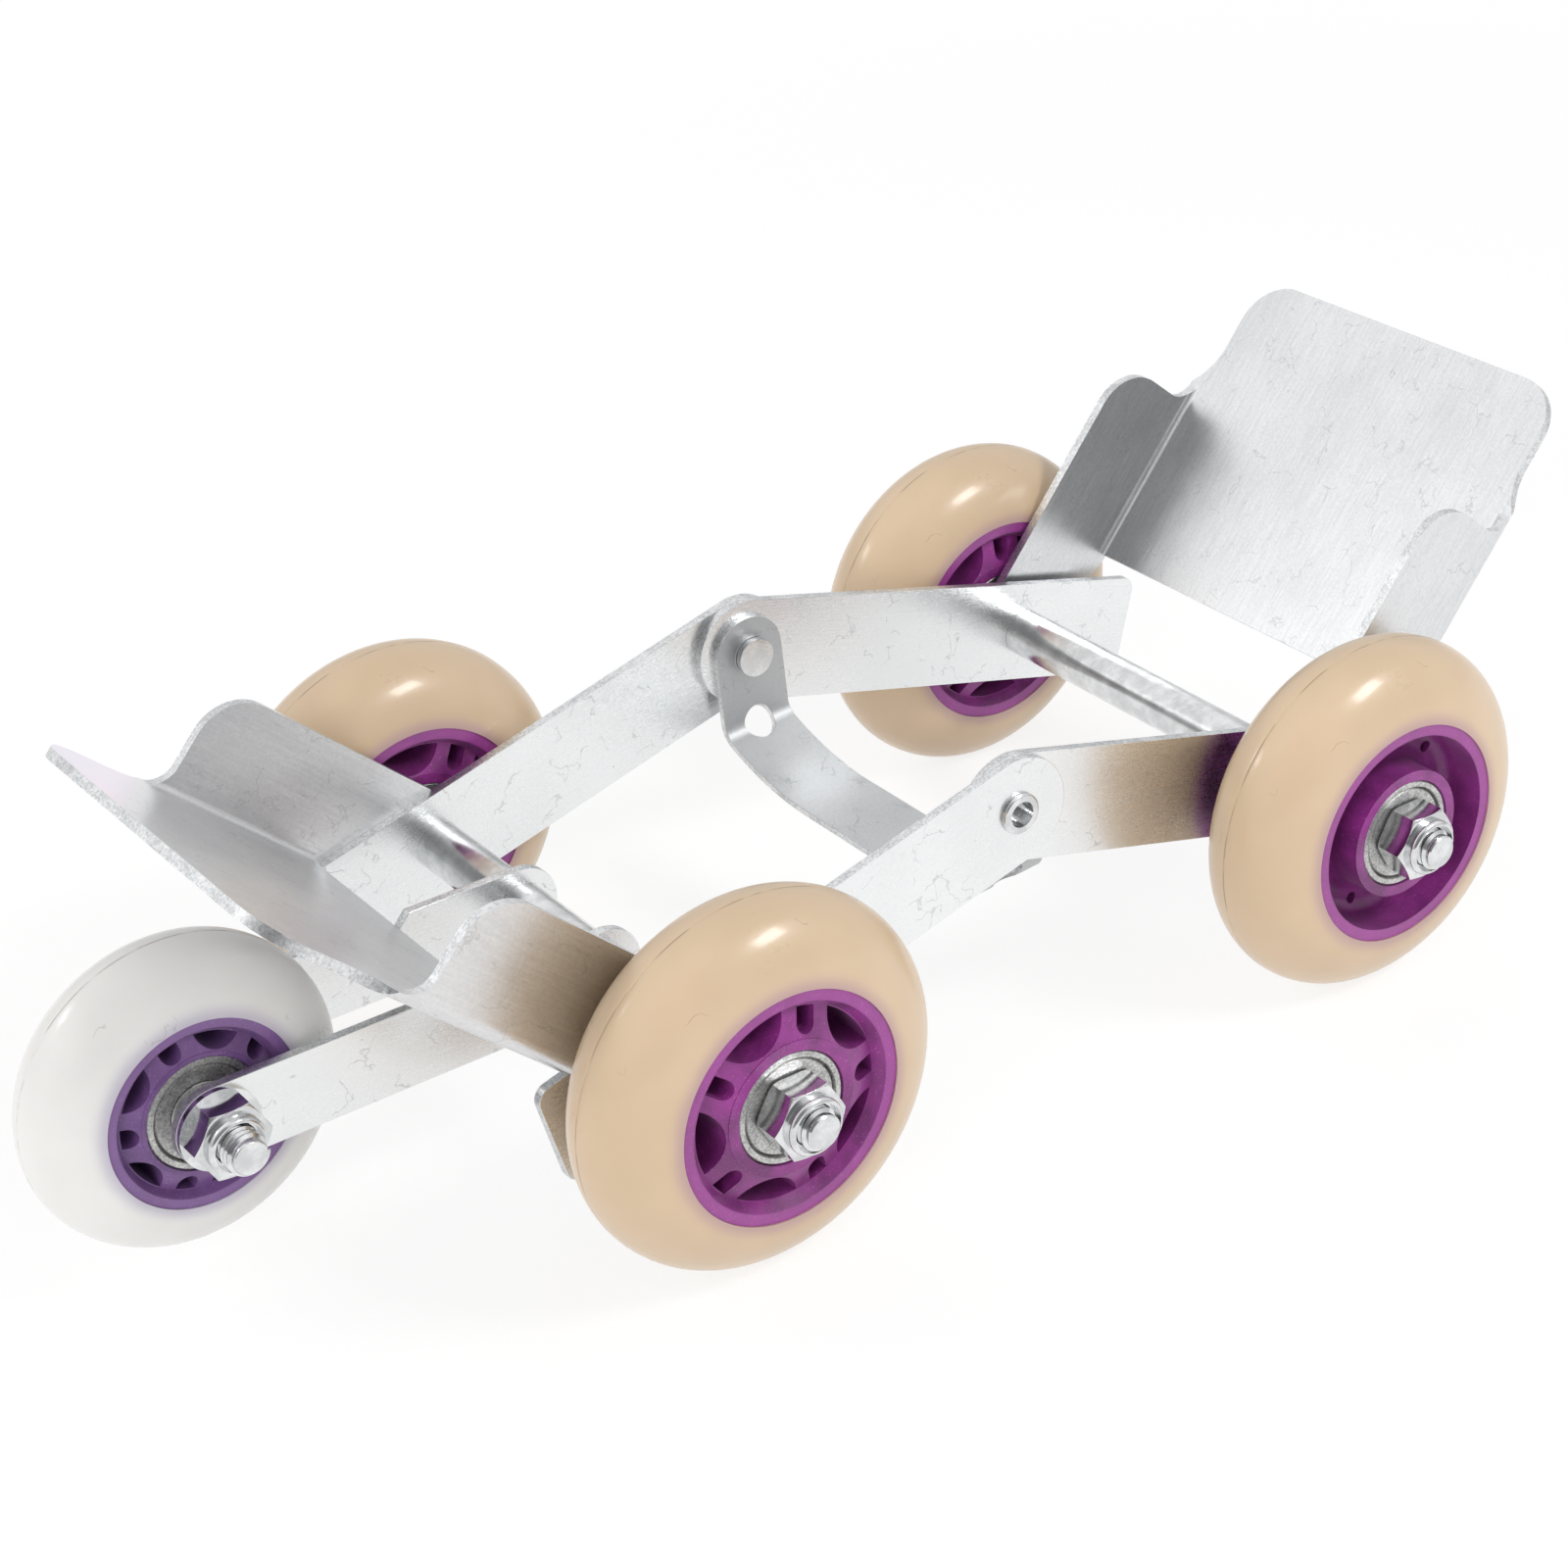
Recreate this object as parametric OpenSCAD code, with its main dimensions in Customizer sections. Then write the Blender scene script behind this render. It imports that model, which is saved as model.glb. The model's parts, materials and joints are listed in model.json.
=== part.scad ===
// Tire skate: a folding five-wheel carrier for one flat tyre of a two-wheeler.
// Millimetres, +Z up, +X towards the rear cradle, -Y towards the near side.
// The origin is on the floor, under the middle of the whole length and width.

/* [Wheels] */
// Outside diameter of the four main wheels
wheel_d = 72; // [66:1:80]
// Width of a main tyre at its widest
wheel_w = 24.8; // [22:0.2:30]
// Outside diameter of a main hub
hub_d = 45; // [42:0.5:48]
// Outside diameter of the fifth wheel
fifth_d = 60; // [56:1:64]
// Width of the fifth tyre at its widest
fifth_w = 21; // [19:0.2:24]
// Outside diameter of the fifth hub
fifth_hub_d = 36.6; // [35:0.2:40]
// Radius of the rounded tread across a main tyre
tread_r = 10.6; // [9.6:0.1:11]
// Radius of the rounded tread across the fifth tyre
fifth_tread_r = 8.8; // [8:0.1:9.4]
// Width of a hub's lip, seen from the side
lip_w = 2.3; // [1.6:0.1:3]
// Number of large windows, and of small slots, round a hub
window_count = 5; // [4:1:6]
// Depth of the round groove in the closed side of a main hub
groove_depth = 9; // [7:0.5:10]

/* [Bearings] */
// Outside diameter of a wheel bearing
bearing_d = 22; // [21:0.5:24]
// Width of a wheel bearing
bearing_w = 7; // [6:0.5:8]
// Wall of a bearing's outer ring
outer_ring_t = 1.6; // [1.2:0.1:2]
// Wall of a bearing's inner ring
inner_ring_t = 2; // [1.6:0.1:2.4]
// Distance that a bearing sits in from the tyre's widest plane
bearing_inset = 0.6; // [0.4:0.1:1.2]

/* [Frame] */
// Thickness of every steel plate except the strap
sheet = 2; // [1.6:0.1:2.4]
// Width over the outer faces of the two front bars
frame_w = 91; // [84:1:104]
// Distance from the hinge to each axle
reach = 75.5; // [73.5:0.5:90]
// Slope of the bars at rest, in degrees
slope = 14.8; // [11:0.1:18]
// Width of a side bar
bar_w = 22; // [20:0.5:24]
// Length of a front bar beyond the front axle
front_tail = 32.2; // [24:0.2:34]
// Length of a rear bar beyond the rear axle
rear_tail = 30; // [24:0.5:34]
// Corner radius at a bar's square end
tail_r = 3; // [1:0.5:6]
// Outside diameter of the spacer tubes on the axles
tube_d = 10; // [9.6:0.1:12]

/* [Fasteners] */
// Diameter of the axles and of the fifth wheel's bolt
axle_d = 8; // [7.6:0.1:8.2]
// Diameter of a plain washer
washer_d = 15.6; // [14:0.2:18]
// Thickness of a washer between an ear and a bearing
washer_t = 1.8; // [1.6:0.1:2.6]
// Width across the flats of a nut and of the bolt head
nut_flats = 13; // [12.4:0.2:14]
// Height of a lock nut with its collar
nut_h = 8; // [7:0.5:9]
// Height of the collar on a lock nut
collar_h = 1.8; // [1.2:0.1:2.4]
// Depth of the hollow in a lock nut's open end
nut_hollow = 1.4; // [0.6:0.1:2]
// Gap between that hollow's wall and the thread
nut_hollow_gap = 0.7; // [0.4:0.1:1]
// Length of an axle's end beyond its nut
axle_end = 1.8; // [1.2:0.1:3]
// Length of the fifth bolt's end beyond its nut
bolt_end = 4; // [2:0.5:6]
// Height of the fifth bolt's head
head_h = 5.3; // [4.5:0.1:6]
// Diameter of a hinge rivet's shank
rivet_d = 6; // [5:0.2:6.6]
// Diameter of a hinge rivet's heads
rivet_head_d = 8.2; // [7.6:0.1:9.6]
// Height of the rivet's solid inner head above the strap
rivet_head_h = 2.6; // [2:0.1:3.2]
// Height of the rivet's rolled outer rim above the bar
rivet_rim_h = 1.1; // [0.8:0.1:1.4]

/* [Cradles] */
// Angle of the front cradle's panel above the level, in degrees
front_angle = 42; // [38:1:50]
// Angle of the rear cradle's panel above the level, in degrees
rear_angle = 50; // [46:1:62]
// Distance from the axle to the panel's inner face
panel_drop = 13.4; // [12:0.2:16]
// Distance from the axle to the end of the ears, along the panel
ear_len = 61; // [56:0.5:68]
// Height of the ears' long edge past the axle
ear_top = 8.8; // [8:0.2:12]
// Radius of the ears' outer corners
ear_corner_r = 10; // [6:0.5:12]
// Distance from the axle to the panel's far edge
panel_len = 93; // [88:1:104]
// Width of the panel beyond the ears
flap_w = 86.4; // [76:0.2:88]
// Radius of the panel's far corners
flap_corner_r = 10; // [6:0.5:12]
// Inside radius of the bends between the panel and the ears
bend_r = 1.5; // [1:0.1:2.5]
// Radius of the hollow between an ear's end and the flap
hollow_r = 5; // [2:0.5:6]
// Radius of the curve from the panel's full width to its free end
flare_r = 14; // [8:1:18]

/* [Fork] */
// Distance from the front axle to the fifth wheel's axle
fork_reach = 79.2; // [76:0.2:90]
// Width of a fork arm
fork_w = 16; // [15:0.5:18]
// Length of the spacers beside the fifth wheel's bearings
fork_gap = 3.3; // [2.4:0.1:4.5]

/* [Strap] */
// Width of the cross strap
strap_w = 16; // [14:0.5:18]
// Thickness of the cross strap
strap_t = 1.5; // [1.2:0.1:2]
// Depth of the strap's middle below the hinge
strap_drop = 23.1; // [21:0.1:25]
// Angle of the strap at rest, off the vertical, in degrees
strap_lean = 4.5; // [0:0.5:10]
// Diameter of the holes at the strap's upper bends
strap_hole_d = 6.8; // [5:0.2:9]
// Radius of the tight upper bends, at mid thickness
strap_bend_r = 4; // [3:0.5:5]
// Radius of the wide lower curves, at mid thickness
strap_curve_r = 58; // [38:1:64]

/* [Clearances] */
// Gap all round a pin that turns in its hole
pin_gap = 0.08; // [0.03:0.01:0.1]
// Gap all round a piece that is pressed or moulded in place
fit_gap = 0.02; // [0.01:0.01:0.05]
// Gap under the front cradle where it comes to rest on the bars
rest_gap = 0.3; // [0.2:0.05:0.6]
// Gap between the notch in a fork arm and the front cradle
notch_gap = 0.5; // [0.3:0.1:0.8]

/* [Hidden] */

$fn = 96;
over = 1;
axle_r = axle_d / 2;

// Stations across the skate, as distances from its middle plane
bearing_y = wheel_w / 2 - bearing_inset;
fifth_bearing_y = fifth_w / 2 - bearing_inset + 0.1;
fork_y = fifth_bearing_y + fork_gap;
fork_outer_y = fork_y + sheet;
frame_y = frame_w / 2;
rear_bar_y = frame_y - sheet;
strap_y = frame_y - 2 * sheet;
ear_y = frame_y + sheet;
washer_y = ear_y + washer_t;
wheel_y = washer_y + bearing_y;
nut_y = wheel_y + bearing_y;
axle_tip_y = nut_y + nut_h + axle_end;

// Places along and above the floor
axle_z = wheel_d / 2;
hinge_z = axle_z + reach * sin(slope);
half_base = reach * cos(slope);
rear_tip = half_base + panel_len * cos(rear_angle) + (panel_drop + sheet) * sin(rear_angle);
front_tip = half_base + fork_reach + fifth_d / 2;
hinge_x = (front_tip - rear_tip) / 2;
front_x = hinge_x - half_base;
rear_x = hinge_x + half_base;
fifth_x = front_x - fork_reach;

// The panel's inner edge is where its underside meets the top of the bars
rest_angle = front_angle + slope;
panel_start = (bar_w / 2 + rest_gap + (panel_drop + sheet) * cos(rest_angle)) / sin(rest_angle);

// The strap bends sharply at the top, then curves gently into a level middle
strap_turn = 65;
strap_bend_x = strap_y - strap_t / 2 - strap_bend_r;
strap_bend_z = strap_curve_r * (1 - sin(strap_turn)) + strap_bend_r * sin(strap_turn) - strap_drop;
strap_flat = strap_bend_x + (strap_bend_r - strap_curve_r) * cos(strap_turn);

// A disc or tube along Y, between two stations
module along_y(x, z, y0, y1, r) {
    translate([x, y0, z])
        rotate([-90, 0, 0])
            cylinder(h = y1 - y0, r = r);
}

module tube_y(x, z, y0, y1, r, bore) {
    difference() {
        along_y(x, z, y0, y1, r);
        along_y(x, z, y0 - over, y1 + over, bore);
    }
}

// A rod along Y with both ends chamfered
module rod_y(x, z, y0, y1, r, chamfer) {
    translate([x, y0, z])
        rotate([-90, 0, 0])
            rotate_extrude()
                polygon([
                    [0, 0], [r - chamfer, 0], [r, chamfer], [r, y1 - y0 - chamfer],
                    [r - chamfer, y1 - y0], [0, y1 - y0]
                ]);
}

// A plate that stands along X and Z, between two stations across
module plate_y(y0, y1) {
    translate([0, y1, 0])
        rotate([90, 0, 0])
            linear_extrude(y1 - y0)
                children();
}

// Both sides of the skate
module both_sides() {
    children();
    mirror([0, 1, 0]) children();
}

// Outline of a side bar: axle at the origin, hinge at +x, square tail at -x
module bar_outline(tail) {
    half = bar_w / 2;
    difference() {
        union() {
            translate([-tail + tail_r, -half])
                square([tail - tail_r + reach, bar_w]);
            translate([-tail, -half + tail_r])
                square([tail_r + over, bar_w - 2 * tail_r]);
            for (side = [-1, 1])
                translate([-tail + tail_r, side * (half - tail_r)])
                    circle(tail_r);
            translate([reach, 0])
                circle(half);
        }
        circle(axle_r + pin_gap);
        translate([reach, 0])
            circle(rivet_d / 2 + pin_gap);
    }
}

module front_bar(y0, y1) {
    color("gainsboro")
        translate([front_x, 0, axle_z])
            rotate([0, -slope, 0])
                plate_y(y0, y1)
                    bar_outline(front_tail);
}

module rear_bar(y0, y1) {
    color("gainsboro")
        translate([rear_x, 0, axle_z])
            mirror([1, 0, 0])
                rotate([0, -slope, 0])
                    plate_y(y0, y1)
                        bar_outline(rear_tail);
}

// One rivet at each hinge: solid head inside, rolled hollow rim outside
module hinge_rivets() {
    head_r = rivet_head_d / 2;
    shank_r = rivet_d / 2;
    strap_in_y = strap_y - strap_t;
    flange_h = rivet_head_h * 0.35;
    groove_h = rivet_head_h * 0.15;
    color("silver")
        both_sides()
            difference() {
                union() {
                    along_y(hinge_x, hinge_z, strap_in_y - flange_h, strap_in_y, head_r);
                    along_y(hinge_x, hinge_z, strap_in_y - flange_h - groove_h,
                        strap_in_y - flange_h, shank_r * 1.15);
                    along_y(hinge_x, hinge_z, strap_in_y - rivet_head_h,
                        strap_in_y - flange_h - groove_h, head_r);
                    along_y(hinge_x, hinge_z, strap_in_y, frame_y, shank_r);
                    rivet_rim(head_r, shank_r);
                }
                along_y(hinge_x, hinge_z, rear_bar_y, frame_y + rivet_rim_h + over,
                    shank_r * 0.85);
            }
}

module rivet_rim(head_r, shank_r) {
    translate([hinge_x, frame_y, hinge_z])
        rotate([-90, 0, 0])
            rotate_extrude()
                union() {
                    square([head_r - rivet_rim_h / 2, rivet_rim_h]);
                    translate([head_r - rivet_rim_h / 2, rivet_rim_h / 2])
                        circle(rivet_rim_h / 2);
                }
}

// Hexagon along Z from z = 0, its corners turned off at 30 degrees
module hex_block(height, top_chamfer, bottom_chamfer) {
    corner_r = nut_flats / 2 / cos(30);
    cut = corner_r - nut_flats / 2;
    drop = cut * tan(30);
    intersection() {
        cylinder(h = height, r = corner_r, $fn = 6);
        rotate_extrude()
            polygon([
                [0, 0], [corner_r - bottom_chamfer * cut, 0],
                [corner_r, bottom_chamfer * drop], [corner_r, height - top_chamfer * drop],
                [corner_r - top_chamfer * cut, height], [0, height]
            ]);
    }
}

// Lock nut on Z from z = 0: hexagon, then a round collar over the locking ring
module lock_nut(flange_r, flange_h) {
    collar_r = nut_flats / 2 - 0.9;
    edge_r = collar_h * 0.55;
    hex_h = nut_h - collar_h;
    difference() {
        union() {
            hex_block(hex_h, 1, 0.6);
            cylinder(h = flange_h, r = flange_r);
            translate([0, 0, hex_h])
                rotate_extrude()
                    union() {
                        square([collar_r, collar_h - edge_r]);
                        square([collar_r - edge_r, collar_h]);
                        translate([collar_r - edge_r, collar_h - edge_r])
                            circle(edge_r);
                    }
        }
        translate([0, 0, -over])
            cylinder(h = nut_h + 2 * over, r = axle_r + fit_gap);
        translate([0, 0, nut_h - nut_hollow])
            cylinder(h = nut_hollow + over, r = axle_r + nut_hollow_gap);
    }
}

module axle_nuts(x) {
    color("silver")
        both_sides()
            translate([x, nut_y, axle_z])
                rotate([-90, 0, 0])
                    lock_nut(nut_flats / 2 - 0.2, 0.4);
}

module axle(x) {
    color("silver")
        rod_y(x, axle_z, -axle_tip_y, axle_tip_y, axle_r, 0.9);
}

module axle_washers(x) {
    color("silver")
        both_sides()
            tube_y(x, axle_z, ear_y, washer_y, washer_d / 2, axle_r + fit_gap);
}

module front_inner_tube() {
    color("silver")
        tube_y(front_x, axle_z, -fork_y, fork_y, tube_d / 2, axle_r + 2 * pin_gap);
}

module front_outer_tubes() {
    color("silver")
        both_sides()
            tube_y(front_x, axle_z, fork_outer_y, frame_y - sheet, tube_d / 2,
                axle_r + 2 * pin_gap);
}

module rear_tube() {
    color("silver")
        tube_y(rear_x, axle_z, -rear_bar_y + sheet, rear_bar_y - sheet, tube_d / 2,
            axle_r + 2 * pin_gap);
}

// Rings that fill the width of the front bars beside the rear bars
module rear_shims() {
    color("silver")
        both_sides()
            tube_y(rear_x, axle_z, rear_bar_y, frame_y, washer_d / 2, axle_r + fit_gap);
}

// Cross-section of a cradle, with x across the skate and y square to the panel
module trough_section(half, bottom, corner_r) {
    top = ear_top + over;
    translate([-half + corner_r, bottom])
        square([2 * (half - corner_r), top - bottom]);
    translate([-half, bottom + corner_r])
        square([2 * half, top - bottom - corner_r]);
    for (side = [-1, 1])
        translate([side * (half - corner_r), bottom + corner_r])
            circle(corner_r);
}

// Side view of a cradle, with x out along the panel and y towards the tyre
module cradle_side() {
    floor_y = -panel_drop - sheet;
    union() {
        circle(ear_top);
        polygon([
            [0, -ear_top], [panel_start, floor_y], [ear_len - ear_corner_r, floor_y],
            [ear_len - ear_corner_r, ear_top], [0, ear_top]
        ]);
        translate([ear_len - ear_corner_r - over, floor_y])
            square([ear_corner_r + over, ear_top - ear_corner_r - floor_y]);
        translate([ear_len - ear_corner_r, ear_top - ear_corner_r])
            circle(ear_corner_r);
        difference() {
            translate([ear_len - over, floor_y])
                square([panel_len - ear_len + over, sheet + hollow_r]);
            translate([ear_len + hollow_r, -panel_drop + hollow_r])
                circle(hollow_r);
            translate([ear_len + hollow_r, -panel_drop])
                square([panel_len - ear_len, sheet + hollow_r]);
        }
    }
}

// View of a cradle square to its panel, with x out along the panel
module cradle_plan() {
    flap_y = flap_w / 2;
    flare_rise = flare_r + flap_y - ear_y;
    flare_span = sqrt(max(0, flare_r * flare_r - flare_rise * flare_rise));
    flare_end = ear_len + hollow_r + flare_span;
    difference() {
        union() {
            translate([panel_start, -ear_y])
                square([flare_end - panel_start, 2 * ear_y]);
            for (side = [-1, 1])
                translate([-ear_top, side * (frame_y + ear_y) / 2 - sheet / 2])
                    square([ear_top + panel_start + over, sheet]);
            translate([ear_len, -flap_y])
                square([panel_len - ear_len - flap_corner_r, flap_w]);
            translate([panel_len - flap_corner_r - over, -flap_y + flap_corner_r])
                square([flap_corner_r + over, flap_w - 2 * flap_corner_r]);
            for (side = [-1, 1])
                translate([panel_len - flap_corner_r, side * (flap_y - flap_corner_r)])
                    circle(flap_corner_r);
        }
        for (side = [-1, 1])
            translate([flare_end, side * (flap_y + flare_r)])
                circle(flare_r);
    }
}

// One bent cradle, its axle on Y through the origin and its panel out along +X
module cradle_blank() {
    deep = panel_drop + sheet;
    difference() {
        intersection() {
            difference() {
                translate([-ear_top, 0, 0])
                    rotate([90, 0, 90])
                        linear_extrude(panel_len + ear_top)
                            trough_section(ear_y, -deep, bend_r + sheet);
                translate([-ear_top - over, 0, 0])
                    rotate([90, 0, 90])
                        linear_extrude(panel_len + ear_top + 2 * over)
                            trough_section(frame_y, -panel_drop, bend_r);
            }
            plate_y(-ear_y - over, ear_y + over)
                cradle_side();
            translate([0, 0, -deep - over])
                linear_extrude(deep + ear_top + 2 * over)
                    cradle_plan();
        }
        along_y(0, 0, -ear_y - over, ear_y + over, axle_r + pin_gap);
    }
}

module front_cradle() {
    color("lightgray")
        translate([front_x, 0, axle_z])
            mirror([1, 0, 0])
                rotate([0, -front_angle, 0])
                    cradle_blank();
}

module rear_cradle() {
    color("lightgray")
        translate([rear_x, 0, axle_z])
            rotate([0, -rear_angle, 0])
                cradle_blank();
}

// Fork arm outline from the front axle at the origin to the fifth axle at -x,
// notched clear of the front cradle's inner edge
module fork_outline() {
    difference() {
        union() {
            translate([-fork_reach, -fork_w / 2])
                square([fork_reach, fork_w]);
            circle(fork_w / 2);
            translate([-fork_reach, 0])
                circle(fork_w / 2);
        }
        circle(axle_r + pin_gap);
        translate([-fork_reach, 0])
            circle(axle_r + fit_gap);
        mirror([1, 0])
            rotate(front_angle)
                translate([panel_start - notch_gap, -panel_drop - sheet - notch_gap])
                    square([fork_reach, 2 * fork_w]);
    }
}

module fork_arm(y0, y1) {
    color("gainsboro")
        translate([front_x, 0, axle_z])
            plate_y(y0, y1)
                fork_outline();
}

// Bolt through the fifth wheel, its head on the far side
module fifth_bolt() {
    color("silver")
        translate([fifth_x, fork_outer_y, axle_z])
            rotate([-90, 0, 0])
                union() {
                    hex_block(head_h, 1, 0.3);
                    translate([0, 0, -2 * fork_outer_y - nut_h - bolt_end])
                        rotate_extrude()
                            polygon([
                                [0, 0], [axle_r - 0.9, 0], [axle_r, 0.9],
                                [axle_r, 2 * fork_outer_y + nut_h + bolt_end],
                                [0, 2 * fork_outer_y + nut_h + bolt_end]
                            ]);
                }
}

module fifth_nut() {
    color("silver")
        translate([fifth_x, -fork_outer_y, axle_z])
            rotate([90, 0, 0])
                lock_nut(nut_flats / 2 + 1.4, 1.1);
}

module fifth_spacers() {
    color("silver")
        both_sides()
            tube_y(fifth_x, axle_z, fifth_bearing_y, fork_y, axle_r + inner_ring_t,
                axle_r + fit_gap);
}

// One face of the strap from an upright end down to its level middle
function strap_face(grow, bend_steps = 12, curve_steps = 10) = concat(
    [for (k = [0 : bend_steps]) let (a = -strap_turn * k / bend_steps) [
        strap_bend_x + (strap_bend_r + grow) * cos(a), strap_bend_z + (strap_bend_r + grow) * sin(a)]],
    [for (k = [1 : curve_steps]) let (a = -strap_turn - (90 - strap_turn) * k / curve_steps) [
        strap_flat + (strap_curve_r + grow) * cos(a),
        strap_curve_r - strap_drop + (strap_curve_r + grow) * sin(a)]]
);

function backwards(points) = [for (k = [len(points) - 1 : -1 : 0]) points[k]];

function opposite(points) = [for (point = points) [-point[0], point[1]]];

// The bent strip, before its ends are rounded
module strap_strip() {
    top = strap_w / 2;
    half = strap_bend_x + strap_bend_r;
    outside = strap_face(strap_t / 2);
    inside = strap_face(-strap_t / 2);
    translate([-strap_w / 2, 0, 0])
        rotate([90, 0, 90])
            linear_extrude(strap_w)
                polygon(concat(
                    [[-half - strap_t / 2, top]], opposite(outside), backwards(outside),
                    [[half + strap_t / 2, top], [half - strap_t / 2, top]],
                    inside, backwards(opposite(inside)), [[-half + strap_t / 2, top]]
                ));
}

module strap() {
    color("darkgray")
        translate([hinge_x, 0, hinge_z])
            rotate([0, -strap_lean, 0])
                difference() {
                    intersection() {
                        strap_strip();
                        plate_y(-strap_y - over, strap_y + over)
                            union() {
                                circle(strap_w / 2);
                                translate([-strap_w / 2, -2 * strap_drop])
                                    square([strap_w, 2 * strap_drop]);
                            }
                    }
                    along_y(0, 0, -strap_y - over, strap_y + over, rivet_d / 2 + pin_gap);
                    both_sides()
                        translate([0, strap_bend_x, strap_bend_z])
                            rotate([-90 - strap_turn / 2, 0, 0])
                                translate([0, 0, strap_bend_r])
                                    cylinder(h = 2 * strap_bend_r, r = strap_hole_d / 2,
                                        center = true);
                }
}

// Cross-section of a tyre, x out from its axle and y across it: a round tread
// that runs smoothly into two flatter side walls, widest at the level wide_r
module tyre_section(outer_r, half_w, crown_r, wide_r, bore) {
    crown_x = outer_r - crown_r;
    rise = crown_x - wide_r;
    blend = 2 * atan((half_w - crown_r) / rise);
    reach_in = rise / sin(blend);
    side_r = crown_r + reach_in;
    side_y = half_w - side_r;
    blend_x = crown_x + crown_r * sin(blend);
    difference() {
        intersection() {
            translate([wide_r, side_y])
                circle(side_r, $fn = 180);
            translate([wide_r, -side_y])
                circle(side_r, $fn = 180);
            translate([bore, -half_w - over])
                square([outer_r, 2 * (half_w + over)]);
        }
        difference() {
            translate([blend_x, -half_w - over])
                square([outer_r, 2 * (half_w + over)]);
            translate([crown_x, 0])
                circle(crown_r);
        }
    }
}

module tyre(x, y, outer_r, half_w, crown_r, hub_r, tint) {
    color(tint)
        translate([x, y, axle_z])
            rotate([-90, 0, 0])
                rotate_extrude($fn = 180)
                    tyre_section(outer_r, half_w, crown_r, hub_r - 1, hub_r + fit_gap);
}

// Outline of one large window: a round bite from the rim, cut off at the rim
module window_outline(rim_r, inner_r, half_angle) {
    half = rim_r * sin(half_angle);
    sag = rim_r * cos(half_angle) - inner_r;
    bite_r = (half * half + sag * sag) / (2 * sag);
    intersection() {
        circle(rim_r);
        translate([inner_r + bite_r, 0])
            circle(bite_r);
    }
}

// Outline of one small slot, open at the rim and round at its inner end
module slot_outline(rim_r, inner_r, width) {
    intersection() {
        circle(rim_r);
        union() {
            translate([inner_r + width / 2, 0])
                circle(width / 2);
            translate([inner_r + width / 2, -width / 2])
                square([rim_r, width]);
        }
    }
}

// Solid of a hub before its windows, on Z, its windows' face towards +Z
module hub_blank(hub_r, half_w, face_drop, boss_r, groove) {
    lip_r = hub_r - lip_w;
    web_r = lip_r - 1.4;
    seat_r = bearing_d / 2 + fit_gap;
    groove_r = 3;
    difference() {
        rotate_extrude($fn = 180)
            difference() {
                translate([bearing_d / 2 - 2.2, -half_w])
                    square([hub_r - bearing_d / 2 + 2.2, 2 * half_w]);
                polygon([
                    [boss_r, half_w + over], [boss_r, half_w - 0.2],
                    [web_r, half_w - face_drop], [lip_r, half_w], [lip_r, half_w + over]
                ]);
                translate([boss_r, -half_w - over])
                    square([lip_r - boss_r, groove - groove_r + over]);
                translate([boss_r + groove_r, -half_w - over])
                    square([lip_r - boss_r - 2 * groove_r, groove + over]);
                for (x = [boss_r + groove_r, lip_r - groove_r])
                    translate([x, -half_w + groove - groove_r])
                        circle(groove_r);
            }
        for (side = [-1, 1])
            translate([0, 0, side * (half_w - bearing_inset - bearing_w / 2 + over / 2)])
                cylinder(h = bearing_w + over, r = seat_r, center = true);
    }
}

module hub(x, y, turn_x, phase) {
    half_w = wheel_w / 2 - 0.35;
    hub_r = hub_d / 2;
    boss_r = bearing_d / 2 + 2.1;
    rim_r = hub_r - lip_w - 1.6;
    web = 2;
    step = 360 / window_count;
    color("darkmagenta")
        translate([x, y, axle_z])
            rotate([turn_x, 0, 0])
                difference() {
                    hub_blank(hub_r, half_w, 2.1, boss_r, groove_depth);
                    for (k = [0:window_count - 1])
                        rotate(phase + k * step) {
                            translate([0, 0, -half_w + groove_depth + web])
                                linear_extrude(2 * half_w)
                                    window_outline(rim_r, boss_r + 0.4, 20.5);
                            translate([(boss_r + hub_r - lip_w) / 2 + 0.6, 0, -half_w])
                                cylinder(h = 2 * half_w, r = 1.2);
                            rotate(step / 2)
                                translate([0, 0, -half_w + groove_depth + web])
                                    linear_extrude(2 * half_w)
                                        slot_outline(rim_r, boss_r + 0.7, 3.7);
                        }
                }
}

module fifth_hub() {
    half_w = fifth_w / 2 - 0.35;
    hub_r = fifth_hub_d / 2;
    boss_r = bearing_d / 2 + 0.9;
    rim_r = hub_r - lip_w - 0.8;
    step = 360 / window_count;
    color("indigo")
        translate([fifth_x, 0, axle_z])
            rotate([90, 0, 0])
                difference() {
                    fifth_hub_blank(hub_r, half_w, boss_r);
                    for (k = [0:window_count - 1])
                        rotate(71 + k * step) {
                            translate([0, 0, -half_w + groove_depth / 2])
                                linear_extrude(2 * half_w)
                                    window_outline(rim_r, boss_r + 0.2, 16.5);
                            rotate(step / 2)
                                translate([0, 0, -half_w + groove_depth / 2])
                                    linear_extrude(2 * half_w)
                                        slot_outline(rim_r, boss_r + 0.3, 3.8);
                        }
                }
}

// The fifth hub's solid: a level web between the lip and the bearings' seats
module fifth_hub_blank(hub_r, half_w, boss_r) {
    lip_r = hub_r - lip_w + 0.5;
    web_r = hub_r - lip_w - 0.6;
    difference() {
        rotate_extrude($fn = 180)
            difference() {
                translate([bearing_d / 2 - 2.2, -half_w])
                    square([hub_r - bearing_d / 2 + 2.2, 2 * half_w]);
                for (side = [-1, 1])
                    polygon([
                        [boss_r, side * (half_w + over)], [boss_r, side * (half_w - 0.2)],
                        [web_r, side * (half_w - 1.6)], [lip_r, side * half_w],
                        [lip_r, side * (half_w + over)]
                    ]);
            }
        for (side = [-1, 1])
            translate([0, 0, side * (fifth_bearing_y - bearing_w / 2 + over / 2)])
                cylinder(h = bearing_w + over, r = bearing_d / 2 + fit_gap, center = true);
    }
}

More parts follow.
